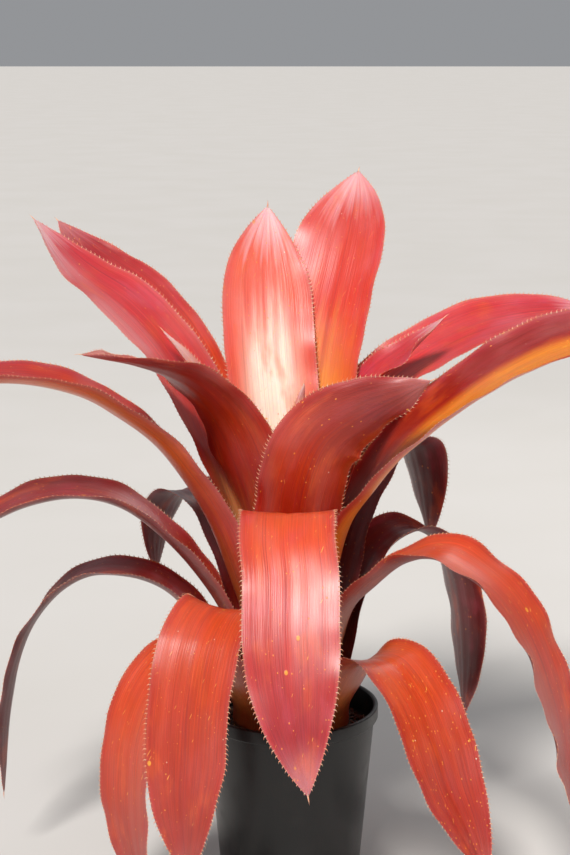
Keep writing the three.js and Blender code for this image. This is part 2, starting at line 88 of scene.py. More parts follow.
# Leaves from the innermost to the outermost, with the routes and cross-sections of the CAD solids.
# path: [out, up, swing] of the midrib above the sheath. cup and twist: degrees from base to tip.
# look: the leaf's palette. wave: how far its margins undulate, in mm.
LEAVES = [
    dict(name="leaf_heart", heading=-40, width=0.5, tip=0.7, look="heart", slot="leaf_cream",
         path=[[1, 110], [2, 190], [4, 280], [8, 324]], cup=[60, 70, 60, 40]),
    dict(name="leaf_crown_back", heading=116, width=1.02, tip=0.75, look="crown", slot="leaf_cream",
         path=[[2, 110], [6, 190, -1], [20, 270, -1], [44, 350, -5], [78, 422, -11], [100, 472, -15]],
         cup=[60, 45, 20, 10, 15], twist=[0, -6, -16, -16, -8]),
    dict(name="leaf_crown_right", heading=66, width=1.1, tip=0.75, look="crown_orange", slot="leaf_coral",
         path=[[3, 110], [10, 190], [30, 280], [56, 360, -1], [88, 430, -3], [150, 502]],
         cup=[60, 45, 20, 15, 20]),
    dict(name="leaf_inner_right", heading=6, width=0.7, look="pink", slot="leaf_coral", wave=2.4,
         path=[[4, 110], [12, 200], [30, 286], [54, 322], [92, 350], [126, 380]],
         cup=[60, 45, 40, 35], twist=[0, 0, 10, 20]),
    dict(name="leaf_crown_left", heading=166, width=0.6, look="cream", slot="leaf_cream",
         path=[[4, 110], [14, 200], [42, 284], [74, 330], [104, 366]], cup=[60, 50, 35, 30]),
    dict(name="leaf_inner_left", heading=-150, width=1.2, look="glow", slot="leaf_crimson", wave=1.6,
         path=[[5, 110], [15, 190], [34, 250], [58, 300], [90, 332], [134, 352], [187, 366]],
         cup=[60, 50, 30, 25, 30], twist=[0, 8, 14, 10, 0]),
    dict(name="leaf_upper_right", heading=22, width=0.95, look="pink", slot="leaf_coral",
         path=[[5, 110], [15, 200], [38, 282], [76, 318], [116, 340], [166, 359],
               [218, 368], [300, 373]],
         cup=[60, 30, 25, 25, 30], twist=[0, 0, 10, 18, 24]),
    dict(name="leaf_inner_front", heading=-85, width=1.02, look="glow", slot="leaf_crimson", wave=2.0,
         path=[[7, 110], [22, 190, 2], [37, 246, 9], [50, 284, 20], [74, 310, 38], [98, 326, 50],
               [120, 338, 54]],
         cup=[60, 50, 40, 35, 30]),
    dict(name="leaf_upper_left", heading=160, width=1.0, look="pink", slot="leaf_coral",
         path=[[9, 110], [26, 190], [48, 250], [72, 304], [104, 350], [140, 384],
               [190, 418], [231, 462]],
         cup=[60, 45, 30, 25, 25], twist=[0, 0, -14, -14, -6]),
    dict(name="leaf_upper_left_back", heading=140, width=0.88, look="coral", slot="leaf_coral",
         path=[[10, 110], [29, 190], [60, 268], [94, 320], [130, 358], [168, 386],
               [210, 408], [246, 430], [274, 450]],
         cup=[60, 35, 15, 15, 20], twist=[0, 0, -16, -14]),
    dict(name="leaf_right", heading=-8, width=1.12, look="amber_sunlit_and_shaded", slot="leaf_coral",
         path=[[8, 100], [26, 190], [49, 228], [76, 264], [120, 304], [164, 336],
               [222, 364], [312, 380]],
         cup=[60, 50, 40, 35, 30], twist=[0, 0, 15, 20, 20]),
    dict(name="leaf_back_upper", heading=78, width=0.95, look="crimson", slot="leaf_crimson",
         path=[[9, 100], [33, 180], [70, 240], [120, 265], [180, 255], [240, 210]],
         cup=[60, 40, 25, 20]),
    dict(name="leaf_left", heading=-164, width=1.1, look="amber", slot="leaf_coral",
         path=[[8, 90], [26, 150], [45, 200], [68, 240], [94, 274], [126, 300],
               [162, 322], [230, 337], [310, 322]],
         cup=[60, 50, 40, 35, 30]),
    dict(name="leaf_front", heading=-91, width=0.95, look="coral", slot="leaf_coral",
         path=[[8, 70], [32, 160], [66, 214], [106, 236], [138, 222], [162, 196, 1],
               [188, 155, 1], [212, 95, 2], [230, 35, 4]],
         cup=[60, 30, 6, 8, 20]),
    dict(name="leaf_back", heading=97, width=0.95, look="crimson", slot="leaf_crimson",
         path=[[6, 75], [32, 165], [80, 222], [140, 234], [195, 200], [230, 130]],
         cup=[60, 40, 20, 20]),
    dict(name="leaf_front_right", heading=-25, width=0.97, look="ember", slot="leaf_coral", wave=2.0,
         path=[[6, 60], [22, 115], [44, 140], [76, 168], [110, 178], [138, 168],
               [170, 145], [196, 107], [214, 62], [228, 10], [242, -55]],
         cup=[60, 40, 25, 20, 20]),
    dict(name="leaf_left_back", heading=138, width=0.8, look="maroon", slot="leaf_maroon",
         path=[[8, 70], [36, 150], [70, 194], [98, 200], [122, 180], [134, 146], [138, 108]],
         cup=[60, 40, 25, 20]),
    dict(name="leaf_right_back", heading=46, width=0.8, look="maroon", slot="leaf_maroon",
         path=[[8, 70], [34, 155], [68, 212], [103, 241], [131, 238], [146, 206],
               [154, 168], [160, 134]],
         cup=[60, 45, 35, 35]),
    dict(name="leaf_left_middle", heading=-172, width=0.95, look="crimson", slot="leaf_maroon",
         path=[[6, 60], [20, 110], [46, 152], [78, 188], [112, 214], [147, 224],
               [183, 221], [219, 208], [286, 165]],
         cup=[60, 40, 30, 30]),
    dict(name="leaf_front_left", heading=-115, width=0.92, look="ember", slot="leaf_coral",
         path=[[10, 50], [44, 112], [92, 148], [130, 132], [152, 86], [160, 38],
               [166, -8], [165, -40], [161, -67]],
         cup=[60, 35, 12, 12, 20]),
    dict(name="leaf_right_back_lower", heading=30, width=0.8, look="maroon", slot="leaf_maroon",
         path=[[5, 45], [22, 110], [50, 156], [86, 168], [120, 148], [136, 118],
               [146, 76], [151, 24], [152, -32]],
         cup=[60, 40, 25, 25]),
    dict(name="leaf_back_lower", heading=84, width=0.9, look="maroon", slot="leaf_maroon",
         path=[[10, 45], [40, 110], [86, 140], [136, 125], [170, 70], [188, -10]],
         cup=[60, 35, 20, 20]),
    dict(name="leaf_left_lower", heading=175, width=0.7, look="maroon", slot="leaf_maroon",
         path=[[7, 44], [32, 92], [66, 128], [104, 140], [134, 138], [162, 122],
               [189, 90], [206, 50], [218, -10], [224, -78]],
         cup=[60, 35, 20, 20]),
    dict(name="leaf_front_left_lower", heading=-140, width=0.85, look="ember", slot="leaf_crimson",
         path=[[14, 45], [43, 84], [80, 88], [110, 64], [127, 28], [133, -16],
               [131, -55], [122, -100], [116, -134]],
         cup=[60, 35, 15, 15, 20]),
    dict(name="leaf_front_right_lower", heading=-50, width=0.95, look="ember", slot="leaf_coral",
         path=[[12, 42], [38, 80], [78, 93], [115, 70], [139, 35], [158, -2],
               [180, -30], [204, -66]],
         cup=[60, 35, 15, 15, 20]),
]
DEEPEST_DROOP = -min(point[1] for leaf in LEAVES for point in leaf["path"])


# ------------------------------------------------------------------ leaf geometry

def lerp(a, b, share):
    return a + (b - a) * share


def smoothstep(value, low, high):
    share = np.clip((value - low) / (high - low), 0, 1)
    return share * share * (3 - 2 * share)


def unit(vectors):
    return vectors / np.linalg.norm(vectors, axis=-1, keepdims=True)


def polar(radius, heading, height):
    angle = math.radians(heading)
    return np.array([radius * math.cos(angle), radius * math.sin(angle), height])


def height_above(up):
    """Height of a path point; droops are scaled so that no tip reaches the table."""
    room = (SOIL_TOP - TABLE_CLEARANCE) / DEEPEST_DROOP
    return SOIL_TOP + (up * room if up < 0 else up)


class Midrib:
    """Centripetal Catmull-Rom curve through a leaf's points, read by share of its length."""

    STEPS = 400
    NUDGE = 1e-4

    def __init__(self, leaf, layer):
        radius = INNER_SHEATH_RADIUS + layer * LAYER_PITCH
        foot = SOIL_TOP + STEM_RISE - layer * LAYER_DROP
        points = [polar(radius, leaf["heading"], foot), polar(radius, leaf["heading"], foot + SHEATH_RISE)]
        for out, up, *swing in leaf["path"]:
            points.append(polar(radius + out, leaf["heading"] + sum(swing), height_above(up)))
        before = 2 * points[0] - points[1]
        after = 2 * points[-1] - points[-2]
        self.points = np.array([before, *points, after])
        self.spans = len(points) - 1
        self.places = np.linspace(0, 1, self.STEPS + 1)
        chords = np.diff(self.at(self.places), axis=0)
        self.lengths = np.concatenate([[0], np.cumsum(np.linalg.norm(chords, axis=1))])
        self.length = self.lengths[-1]

    def at(self, places):
        spot = np.clip(places, 0, 1) * self.spans
        span = np.minimum(spot.astype(int), self.spans - 1)
        share = (spot - span)[:, None]
        p0, p1, p2, p3 = (self.points[span + k] for k in range(4))
        d0, d1, d2 = (np.linalg.norm(b - a, axis=1, keepdims=True) ** 0.5
                      for a, b in ((p0, p1), (p1, p2), (p2, p3)))
        t1 = ((p1 - p0) / d0 - (p2 - p0) / (d0 + d1) + (p2 - p1) / d1) * d1
        t2 = ((p2 - p1) / d1 - (p3 - p1) / (d1 + d2) + (p3 - p2) / d2) * d1
        square = share * share
        cube = square * share
        return (p1 + t1 * share + (3 * (p2 - p1) - 2 * t1 - t2) * square
                + (2 * (p1 - p2) + t1 + t2) * cube)

    def along(self, shares):
        """Points and unit tangents at shares of the length."""
        places = np.interp(shares * self.length, self.lengths, self.places)
        low, high = np.maximum(places - self.NUDGE, 0), np.minimum(places + self.NUDGE, 1)
        return self.at(places), unit(self.at(high) - self.at(low))


def degrees_along(values, shares):
    return np.radians(np.interp(shares, np.linspace(0, 1, len(values)), values))


def width_along(leaf, shares, length):
    to_tip = np.minimum((1 - shares) * length / (TIP_LENGTH * leaf.get("tip", 1)), 1)
    return LEAF_WIDTH * leaf["width"] * (1 - (1 - to_tip) ** TIP_FULLNESS)


def sheath_length(layer):
    return lerp(INNER_SHEATH_LENGTH, OUTER_SHEATH_LENGTH, layer / (len(LEAVES) - 1))


def leaf_rows(leaf, layer, stations, chords):
    """Rows of a leaf's middle surface, how open each one is, and its distance along the leaf."""
    midrib = Midrib(leaf, layer)
    shares = np.linspace(0, 1, stations + 1)
    points, tangents = midrib.along(shares)
    distances = shares * midrib.length
    sheath = sheath_length(layer)
    opens = smoothstep(distances, sheath / 2, sheath)
    twists = degrees_along(leaf.get("twist", [0, 0]), shares)
    across, inward = np.empty_like(points), np.empty_like(points)
    side = polar(1, leaf["heading"] + 90, 0)
    for k, (tangent, twist) in enumerate(zip(tangents, twists)):
        side = unit(side - side.dot(tangent) * tangent)
        up = np.cross(tangent, side)
        across[k] = side * math.cos(twist) + up * math.sin(twist)
        inward[k] = up * math.cos(twist) - side * math.sin(twist)
    radius = np.hypot(points[:, 0], points[:, 1])
    round_the_axis = lerp(2 * WIDEST_WRAP * radius, 2 * LEAF_WIDTH, opens)
    width = np.minimum(width_along(leaf, shares, midrib.length), round_the_axis)
    wrap = width / 2 * np.maximum(tangents[:, 2], 0) / radius
    cup = np.maximum(lerp(wrap, degrees_along(leaf["cup"], shares), opens), FLATTEST_CUP)
    angle = cup[:, None] * chords[None, :]
    sideways = (width / 2 / cup)[:, None] * np.sin(angle)
    raised = (width / 2 / cup)[:, None] * (1 - np.cos(angle))
    rows = (points[:, None] + sideways[..., None] * across[:, None] + raised[..., None] * inward[:, None])
    return rows, opens, distances, width


def surface_tree(rows):
    """The middle surface of a laid leaf, for finding its nearest point, with its box."""
    grid = np.arange(rows.shape[0] * rows.shape[1]).reshape(rows.shape[:2])
    a, b = grid[:-1, :-1].ravel(), grid[:-1, 1:].ravel()
    c, d = grid[1:, :-1].ravel(), grid[1:, 1:].ravel()
    triangles = np.stack([np.stack([a, c, b], 1), np.stack([b, c, d], 1)], 1).reshape(-1, 3)
    flat = rows.reshape(-1, 3)
    corners = flat[triangles]
    sides = corners[:, 1:] - corners[:, :1]
    area = np.linalg.norm(np.cross(sides[:, 0], sides[:, 1]), axis=1) / 2
    tree = BVHTree.FromPolygons(flat.tolist(), triangles[area > SLIVER_AREA].tolist())
    return tree, flat.min(0), flat.max(0)


def test_places(stations, chords):
    """Where a leaf is tested against the ones inside it: corner indices and weights of each place."""
    corners, weights, station_of = [], [], []
    across = chords + 1
    for station in range(stations + 1):
        for chord in range(across):
            for down in (0, 1):
                for over in (0, 1):
                    if station + down > stations or chord + over > chords:
                        continue
                    first = station * across + chord
                    share = 1 / ((1 + down) * (1 + over))
                    cell = [first, first + over, first + down * across, first + down * across + over]
                    count = [1, over, down, down * over]
                    corners.append(cell)
                    weights.append([share * used for used in count])
                    station_of.append(station)
    return np.array(corners), np.array(weights), np.array(station_of)


def push_off(place, inner, gap):
    """The push that brings a point to the outer side of a leaf that lies inside it, or None."""
    spot, normal, _, _ = inner.find_nearest(place, SETTLE_REACH)
    if spot is None:
        return None
    offset = place - spot
    height = offset.dot(normal)
    past_margin = math.sqrt(max(offset.length_squared - height * height, 0))
    if height <= -gap or past_margin > MARGIN_REACH:
        return None
    return normal * -(height + gap)


def smoothed(gives):
    """Each give moved half way to the mean of its neighbours."""
    total, count = np.zeros_like(gives), np.zeros(gives.shape[:2])
    for axis in (0, 1):
        for step in (-1, 1):
            moved = np.roll(gives, step, axis)
            edge = [slice(None), slice(None)]
            edge[axis] = 0 if step == 1 else -1
            here = np.ones(gives.shape[:2])
            here[tuple(edge)] = 0
            total += moved * here[..., None]
            count += here
    return (gives + total / count[..., None]) / 2


def settle(rows, opens, laid):
    """How far each point of a leaf gives way to the leaves inside it."""
    corners, weights, station_of = test_places(COARSE_STATIONS, COARSE_CHORDS)
    share = np.minimum(1, opens / GIVE_STARTS)[:, None, None]
    gaps = lerp(LAYER_PITCH, BLADE_GAP, opens)[station_of]
    gives = np.zeros_like(rows)
    for step in range(SETTLE_PASSES):
        flat = (rows + gives * share).reshape(-1, 3)
        places = (flat[corners] * weights[..., None]).sum(1)
        pushes = np.zeros_like(flat)
        biggest = np.zeros(len(flat))
        for tree, low, high in laid:
            near = ((places > low - SETTLE_REACH) & (places < high + SETTLE_REACH)).all(1)
            for k in np.flatnonzero(near):
                push = push_off(Vector(places[k]), tree, gaps[k])
                if push is None:
                    continue
                size = push.length_squared
                for corner, weight in zip(corners[k], weights[k]):
                    if weight and size > biggest[corner]:
                        biggest[corner] = size
                        pushes[corner] = push
        gives += pushes.reshape(rows.shape)
        if step < SMOOTHED_PASSES:
            gives = smoothed(smoothed(gives))
    return gives * share


def natural_spline(values, places):
    """Smooth curve through evenly spaced values, read at places counted in their spacing."""
    count = len(values)
    matrix = np.zeros((count, count))
    known = np.zeros_like(values)
    matrix[0, 0] = matrix[-1, -1] = 1
    for k in range(1, count - 1):
        matrix[k, k - 1:k + 2] = [1, 4, 1]
        known[k] = 6 * (values[k - 1] - 2 * values[k] + values[k + 1])
    bends = np.linalg.solve(matrix, known.reshape(count, -1)).reshape(values.shape)
    low = np.minimum(places.astype(int), count - 2)
    share = (places - low).reshape([-1] + [1] * (values.ndim - 1))
    back = 1 - share
    return (values[low] * back + values[low + 1] * share
            + ((back ** 3 - back) * bends[low] + (share ** 3 - share) * bends[low + 1]) / 6)


def face_directions(rows):
    """Unit normals of the upper face."""
    return unit(np.cross(np.gradient(rows, axis=0), np.gradient(rows, axis=1)) + 1e-12)


def refined(gives, stations, chords):
    """The coarse gives spread over the fine rows."""
    down = natural_spline(gives, np.linspace(0, COARSE_STATIONS, stations + 1))
    over = natural_spline(down.transpose(1, 0, 2), (chords + 1) / 2 * COARSE_CHORDS)
    return over.transpose(1, 0, 2)


# The relief of a blade: wavelengths of the margins' two waves on either side, and depths, in mm.
LEFT_WAVES = (11.5, 6.1)
RIGHT_WAVES = (12.7, 6.7)
SECOND_WAVE = 0.6
USUAL_WAVE = 0.9
PLEAT_DEPTH = 0.16
PLEAT_TURNS = 17
KEEL_DEPTH = 0.5
KEEL_WIDTH = 0.09
FLAT_TIP = 30


def margin_wave(distances, waves, phases):
    first, second = (np.sin(distances / wave + phase) for wave, phase in zip(waves, phases))
    return first + SECOND_WAVE * second


def ruffle(leaf, rows, opens, distances, chords, rng):
    """Margins that undulate, a keeled midrib and faint lengthwise pleats."""
    phases = rng.uniform(0, 2 * math.pi, 6)
    fade = opens * smoothstep(distances[-1] - distances, 0, FLAT_TIP)
    left = margin_wave(distances, LEFT_WAVES, phases[:2])
    right = margin_wave(distances, RIGHT_WAVES, phases[2:4])
    reach = np.abs(chords) ** 3
    edge = np.where(chords[None, :] < 0, left[:, None], right[:, None]) * reach[None, :]
    pleats = PLEAT_DEPTH * np.cos(chords * PLEAT_TURNS + phases[4])[None, :] * (1 - reach)[None, :]
    keel = -KEEL_DEPTH * np.exp(-(chords / KEEL_WIDTH) ** 2)[None, :]
    relief = fade[:, None] * (leaf.get("wave", USUAL_WAVE) * edge + pleats + keel)
    return rows + relief[..., None] * face_directions(rows)


def leaf_solid(rows, opens):
    """Vertices, faces and side flags of the closed leaf around its middle surface."""
    stations, chords = rows.shape[0] - 1, rows.shape[1] - 1
    normals = face_directions(rows)
    half = lerp(SHEATH_THICKNESS, LEAF_THICKNESS, opens)[:, None] / 2
    half = half * (1 - np.abs(CHORD_PLACES)[None, :] ** MARGIN_SHARPNESS)
    upper = rows + half[..., None] * normals
    lower = rows - half[..., None] * normals
    ring_length = 2 * chords
    order = [*range(chords + 1), *range(chords - 1, 0, -1)]
    is_upper = np.array([1.0] * (chords + 1) + [0.0] * (chords - 1))
    rings = np.concatenate([upper, lower[:, chords - 1:0:-1]], axis=1)[:stations]
    verts = [*rings.reshape(-1, 3), rows[stations, 0]]
    faces = []
    for row in range(stations - 1):
        base = row * ring_length
        for k in range(ring_length):
            a, b = base + k, base + (k + 1) % ring_length
            faces.append((a, a + ring_length, b + ring_length, b))
    last = (stations - 1) * ring_length
    for k in range(ring_length):
        faces.append((last + k, len(verts) - 1, last + (k + 1) % ring_length))
    for chord in range(1, chords):
        under = ring_length - chord
        before = (under + 1) % ring_length
        faces.append((chord - 1, chord, under, before) if chord > 1 else (0, 1, under))
    faces.append((chords - 1, chords, chords + 1))
    return verts, faces, order, is_upper


def chord_places(count):
    """Places across a leaf from -1 to 1, closer together towards the margins."""
    reach = 1.25
    return np.sin(np.linspace(-1, 1, count + 1) * reach) / math.sin(reach)


CHORD_PLACES = chord_places(FINE_CHORDS)


def add_object(name, data):
    made = bpy.data.objects.new(name, data)
    bpy.context.scene.collection.objects.link(made)
    return made


class MeshParts:
    """Collects vertices, faces, material slots and surface coordinates for one mesh.

    A vertex has five coordinates: across and along the blade from 0 to 1, its place on the
    flattened skin in decimetres, and 1 on the upper face or 0 on the lower.
    """

    def __init__(self):
        self.verts, self.faces, self.slots, self.coords = [], [], [], []

    def add(self, verts, faces, slot, coords):
        base = len(self.verts)
        self.verts.extend(verts)
        self.faces.extend([tuple(base + v for v in face) for face in faces])
        self.slots.extend([slot] * len(faces))
        self.coords.extend(coords)


# Prickles and leaf tips: each is a square-sectioned thorn of three levels and a point, in mm.
SQUARE = ((1, 0), (0, 1), (-1, 0), (0, -1))
SPINE_SPACING = 4.4
SPINE_LENGTH = 2.4
SPINE_RADIUS = 0.42
SPINE_LEAN = 0.5
SPINE_LEVELS = ((-0.5, 1.0, 0), (0.35, 0.72, 0), (0.75, 0.38, SPINE_LEAN))
SPINE_POINT = 1.15
SPINE_HOOK = 0.2
SHORT_SPINES = 40
SPINELESS_TIP = 3
TIP_LEVELS = ((-4.5, 1.0), (0.0, 0.85), (3.0, 0.5))
TIP_RADIUS = 0.8
TIP_POINT = 6.5


def add_thorn(parts, levels, wide, narrow, point, coords):
    """A thorn from its levels (centre, size), the two half axes of its section, and its point."""
    verts = [centre + size * (a * wide + b * narrow) for centre, size in levels for a, b in SQUARE]
    faces = [(3, 2, 1, 0)]
    for start in (0, 4):
        for k in range(4):
            a, b = start + k, start + (k + 1) % 4
            faces.append((a, b, b + 4, a + 4))
    faces += [(8 + k, 8 + (k + 1) % 4, 12) for k in range(4)]
    parts.add([*verts, point], faces, 1, [coords] * (len(verts) + 1))


def add_spine(parts, foot, outward, forward, face, length, coords):
    """A curved prickle: its foot stands inside the margin and its point leans to the leaf's tip."""
    levels = [(foot + unit(outward + lean * forward) * length * reach, size)
              for reach, size, lean in SPINE_LEVELS]
    point = foot + (unit(outward + SPINE_LEAN * forward) * SPINE_POINT + forward * SPINE_HOOK) * length
    add_thorn(parts, levels, SPINE_RADIUS * 1.25 * forward, SPINE_RADIUS * 0.8 * face, point, coords)


def add_margin_spines(parts, rows, opens, distances, side, rng):
    """Prickles along one margin, from where the leaf opens to just short of its tip."""
    margin = rows[:, 0 if side < 0 else -1]
    inner = rows[:, 3 if side < 0 else -4]
    steps = np.linalg.norm(np.diff(margin, axis=0), axis=1)
    run = np.concatenate([[0], np.cumsum(steps)])
    at = np.interp(0.15, opens, run)
    while at < run[-1] - SPINELESS_TIP:
        foot = np.array([np.interp(at, run, column) for column in margin.T])
        k = min(int(np.searchsorted(run, at)), len(run) - 2)
        forward = unit(margin[k + 1] - margin[k - 1])
        outward = margin[k] - inner[k]
        outward = unit(outward - outward.dot(forward) * forward)
        face = unit(np.cross(forward, outward))
        near_tip = min(1, (run[-1] - at) / SHORT_SPINES)
        length = SPINE_LENGTH * rng.uniform(0.75, 1.15) * lerp(0.45, 1, near_tip)
        share = np.interp(at, run, distances) / distances[-1]
        coords = (0.5 + side / 2, share, side * 0.4, distances[k] / 100, 1)
        add_spine(parts, foot, outward, forward, face, length, coords)
        at += SPINE_SPACING * rng.uniform(0.8, 1.2)


def add_leaf_tip(parts, rows, distances):
    """The hard dry point that a leaf ends in."""
    tip = rows[-1, 0]
    way = unit(tip - rows[-6].mean(0))
    face = face_directions(rows)[-8, FINE_CHORDS // 2]
    side = unit(np.cross(way, face))
    levels = [(tip + way * reach, size) for reach, size in TIP_LEVELS]
    point = tip + way * TIP_POINT - face * TIP_RADIUS
    coords = (0.5, 1, 0, distances[-1] / 100, 1)
    add_thorn(parts, levels, TIP_RADIUS * side, TIP_RADIUS * 0.7 * face, point, coords)


def blade_coords(order, is_upper, distances, width, stations):
    """The five coordinates of every vertex of a blade."""
    ring = len(order)
    places = np.tile(CHORD_PLACES[order], stations)
    coords = np.stack([(places + 1) / 2,
                       np.repeat(np.arange(stations) / stations, ring),
                       np.repeat(width[:stations] / 200, ring) * places,
                       np.repeat(distances[:stations] / 100, ring),
                       np.tile(is_upper, stations)], 1)
    return [*coords, (0.5, 1, 0, distances[-1] / 100, 1)]


def leaf_object(leaf, rows, opens, distances, width, rng):
    """One leaf as an object: blade, prickles and tip, with its surface coordinates."""
    parts = MeshParts()
    verts, faces, order, is_upper = leaf_solid(rows, opens)
    stations = len(rows) - 1
    parts.add(verts, faces, 0, blade_coords(order, is_upper, distances, width, stations))
    for side in (-1, 1):
        add_margin_spines(parts, rows, opens, distances, side, rng)
    add_leaf_tip(parts, rows, distances)

    mesh = bpy.data.meshes.new(leaf["name"] + "_mesh")
    mesh.from_pydata([tuple(v * MM for v in vert) for vert in parts.verts], [], parts.faces)
    corner = np.empty(len(mesh.loops), np.int32)
    mesh.loops.foreach_get("vertex_index", corner)
    coords = np.array(parts.coords, np.float32)
    for name, columns in (("blade", slice(0, 2)), ("skin", slice(2, 4))):
        layer = mesh.uv_layers.new(name=name)
        layer.uv.foreach_set("vector", coords[corner, columns].ravel())
    face_side = mesh.attributes.new("upper", "FLOAT", "POINT")
    face_side.data.foreach_set("value", coords[:, 4].copy())
    mesh.polygons.foreach_set("material_index", parts.slots)
    mesh.polygons.foreach_set("use_smooth", [True] * len(mesh.polygons))
    mark_margins_sharp(mesh, stations, len(order))
    mesh.update()
    return add_object("fine_" + leaf["name"], mesh)


def mark_margins_sharp(mesh, stations, ring_length):
    """The two margins of the blade are creases between its faces."""
    margins = {0, ring_length // 2}
    sharp = mesh.attributes.new("sharp_edge", "BOOLEAN", "EDGE")
    blade_verts = stations * ring_length
    flags = []
    for edge in mesh.edges:
        a, b = edge.vertices
        flags.append(max(a, b) < blade_verts and a % ring_length in margins
                     and a % ring_length == b % ring_length)
    sharp.data.foreach_set("value", flags)


# ------------------------------------------------------------------ materials

def colour(code):
    """Linear RGBA of a hex sRGB colour."""
    parts = [int(code[k:k + 2], 16) / 255 for k in (0, 2, 4)]
    return (*[c / 12.92 if c <= 0.04045 else ((c + 0.055) / 1.055) ** 2.4 for c in parts], 1)


class Shade:
    """Short calls for building one material's node tree."""

    def __init__(self, name):
        self.material = bpy.data.materials.new(name)
        self.material.use_nodes = True
        self.tree = self.material.node_tree
        self.tree.nodes.clear()
        self.where = self.node("TexCoord").outputs["Object"]

    def node(self, kind, sockets=None, **settings):
        made = self.tree.nodes.new("ShaderNode" + kind)
        for name, value in settings.items():
            setattr(made, name, value)
        for key, value in (sockets or {}).items():
            self.feed(made.inputs[key], value)
        return made

    def feed(self, socket, value):
        if isinstance(value, bpy.types.NodeSocket):
            self.tree.links.new(value, socket)
        else:
            socket.default_value = value

    def math(self, operation, a, b=0.0, clamp=False):
        made = self.node("Math", {0: a, 1: b}, operation=operation, use_clamp=clamp)
        return made.outputs[0]

    def mul(self, a, b, clamp=False):
        return self.math("MULTIPLY", a, b, clamp)

    def add(self, a, b):
        return self.math("ADD", a, b)

    def step(self, value, low, high):
        made = self.node("MapRange", {"Value": value, "From Min": low, "From Max": high},
                         interpolation_type="SMOOTHSTEP")
        return made.outputs[0]

    def mix(self, factor, a, b, blend="MIX"):
        made = self.node("Mix", data_type="RGBA", blend_type=blend)
        self.feed(made.inputs[0], factor)
        self.feed(made.inputs[6], a)
        self.feed(made.inputs[7], b)
        return made.outputs[2]

    def tint(self, mask, amount, code, under):
        """A colour laid over what is under it, where the mask is set."""
        return self.mix(self.mul(mask, amount), under, colour(code))

    def bump(self, strength, depth, height):
        return self.node("Bump", {"Strength": strength, "Distance": depth, "Height": height}).outputs[0]

    def ramp(self, factor, stops):
        """Colours along a factor; stops reads "0 f4cc80 60 f2b468": each place in percent, its colour."""
        words = stops.split()
        made = self.node("ValToRGB", {0: factor})
        elements = made.color_ramp.elements
        while len(elements) < len(words) // 2:
            elements.new(0.5)
        for element, place, code in zip(elements, words[::2], words[1::2]):
            element.position = int(place) / 100
            element.color = colour(code)
        return made.outputs[0]

    def place(self, x, y, z=0.0):
        return self.node("CombineXYZ", {0: x, 1: y, 2: z}).outputs[0]

    def noise(self, vector, scale=1.0, detail=2.0, roughness=0.5):
        made = self.node("TexNoise", {"Vector": vector, "Scale": scale, "Detail": detail,
                                      "Roughness": roughness})
        return made.outputs["Fac"]

    def finish(self, base, roughness, normal=None, **sockets):
        shader = self.node("BsdfPrincipled", {"Base Color": base, "Roughness": roughness})
        if normal is not None:
            self.feed(shader.inputs["Normal"], normal)
        for name, value in sockets.items():
            self.feed(shader.inputs[name.replace("_", " ")], value)
        out = self.node("OutputMaterial")
        self.tree.links.new(shader.outputs[0], out.inputs["Surface"])
        return self.material
